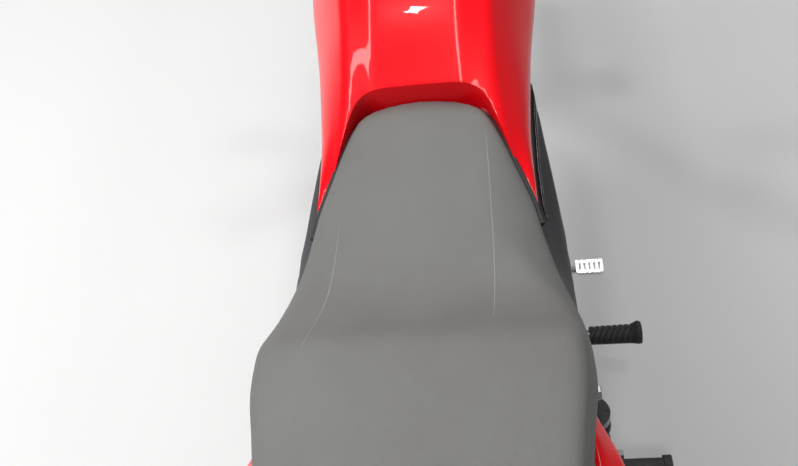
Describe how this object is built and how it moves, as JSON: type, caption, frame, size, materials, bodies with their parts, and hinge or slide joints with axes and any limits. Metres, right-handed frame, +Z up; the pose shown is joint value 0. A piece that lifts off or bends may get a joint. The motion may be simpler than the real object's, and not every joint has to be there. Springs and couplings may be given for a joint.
{
  "type": "commuter motorcycle",
  "caption": "Light commuter motorcycle on its side stand: stepped dual seat, red tank and cowl, open engine, coil shocks, cast wheels, working steering, wheels, stand, cap and pegs.",
  "frame": {"origin": "on the ground, at the middle of the parked machine's box", "axes": "+X forward along the machine, +Y to the rider's left, +Z up; the machine leans 8 degrees towards +Y on its side stand"},
  "size_m": [2.0494, 0.8144, 1.181],
  "materials": {
    "red_paint": "gloss",
    "frame_paint": "satin",
    "engine_alloy": "cast, satin",
    "wheel_alloy": "painted satin",
    "bright_alloy": "machined",
    "bare_steel": "zinc plated",
    "bright_chrome": "polished",
    "spring_black": "gloss",
    "exhaust_black": "satin heat paint",
    "soft_rubber": "matte",
    "tyre_rubber": "matte",
    "black_plastic": "moulded",
    "gloss_black": "gloss",
    "seat_vinyl": "embossed matte vinyl",
    "clear_lens": "clear",
    "red_lens": "clear red",
    "amber_lens": "clear amber",
    "chain_steel": "oiled",
    "plate_white": "satin"
  },
  "bodies": {
    "chassis": {"frame": "frame_paint", "swingarm": "frame_paint", "rear_axle": "bare_steel", "crankcase": "engine_alloy", "clutch_cover": "engine_alloy", "alternator_cover": "engine_alloy", "sprocket_cover": "black_plastic", "cylinder": "engine_alloy", "exhaust_pipe": "exhaust_black", "muffler": "exhaust_black", "heat_shield": "bright_chrome", "intake": "black_plastic", "fuel_tank": "red_paint", "shrouds": "black_plastic", "side_covers": "gloss_black", "tail_cowl": "red_paint", "tail_light": "red_lens", "grab_rail": "bright_alloy", "rear_fender": "black_plastic", "licence_plate": "plate_white", "rear_indicators": "amber_lens", "seat_cushion": "seat_vinyl", "seat_base": "black_plastic", "footpeg_hangers": "frame_paint", "footpeg_rubbers": "soft_rubber", "brake_pedal": "bright_alloy", "gear_lever": "bare_steel", "chain": "chain_steel", "chain_guard": "black_plastic", "rear_brake_plate": "engine_alloy", "shock_dampers": "spring_black", "shock_springs": "spring_black", "pillion_hangers": "frame_paint", "stand_bracket": "frame_paint"},
    "steering": {"fork_sliders": "engine_alloy", "fork_tubes": "bright_chrome", "steering_clamps": "frame_paint", "front_axle": "bare_steel", "handlebar": "frame_paint", "grips": "soft_rubber", "control_levers": "black_plastic", "mirrors": "gloss_black", "headlight_cowl": "red_paint", "headlight_lens": "clear_lens", "instruments": "black_plastic", "front_fender": "red_paint", "front_caliper": "frame_paint", "front_indicators": "amber_lens"},
    "front_wheel": {"front_tyre": "tyre_rubber", "front_rim": "wheel_alloy", "front_disc": "bare_steel"},
    "rear_wheel": {"rear_tyre": "tyre_rubber", "rear_rim": "wheel_alloy", "rear_sprocket": "bare_steel"},
    "side_stand": {"side_stand": "frame_paint"},
    "fuel_cap": {"fuel_cap_lid": "bright_chrome"},
    "pillion_peg_left": {"pillion_peg_left": "soft_rubber"},
    "pillion_peg_right": {"pillion_peg_right": "soft_rubber"}
  },
  "joints": [
    {"name": "steering", "type": "hinge", "parent": "chassis", "child": "steering", "pos_m": [0.45223, -0.03933, 0.73448], "axis": [-0.4384, 0.1251, 0.89], "range_deg": [-38, 38]},
    {"name": "front_wheel_spin", "type": "hinge", "parent": "steering", "child": "front_wheel", "pos_m": [0.71675, -0.09957, 0.30584], "axis": [0, 0.9903, -0.1392], "continuous": true},
    {"name": "rear_wheel_spin", "type": "hinge", "parent": "chassis", "child": "rear_wheel", "pos_m": [-0.59825, -0.09902, 0.3098], "axis": [0, 0.9903, -0.1392], "continuous": true},
    {"name": "side_stand_fold", "type": "hinge", "parent": "chassis", "child": "side_stand", "pos_m": [-0.14625, -0.00998, 0.21044], "axis": [0.1687, 0.8233, 0.542], "range_deg": [0, 104]},
    {"name": "fuel_cap_hinge", "type": "hinge", "parent": "chassis", "child": "fuel_cap", "pos_m": [0.19471, -0.01503, 0.90742], "axis": [0, 0.9903, -0.1392], "range_deg": [0, 100]},
    {"name": "pillion_peg_left_fold", "type": "hinge", "parent": "chassis", "child": "pillion_peg_left", "pos_m": [-0.44925, 0.11624, 0.36842], "axis": [1, 0, 0], "range_deg": [0, 85]},
    {"name": "pillion_peg_right_fold", "type": "hinge", "parent": "chassis", "child": "pillion_peg_right", "pos_m": [-0.44925, -0.28977, 0.42548], "axis": [-1, 0, 0], "range_deg": [0, 85]}
  ]
}
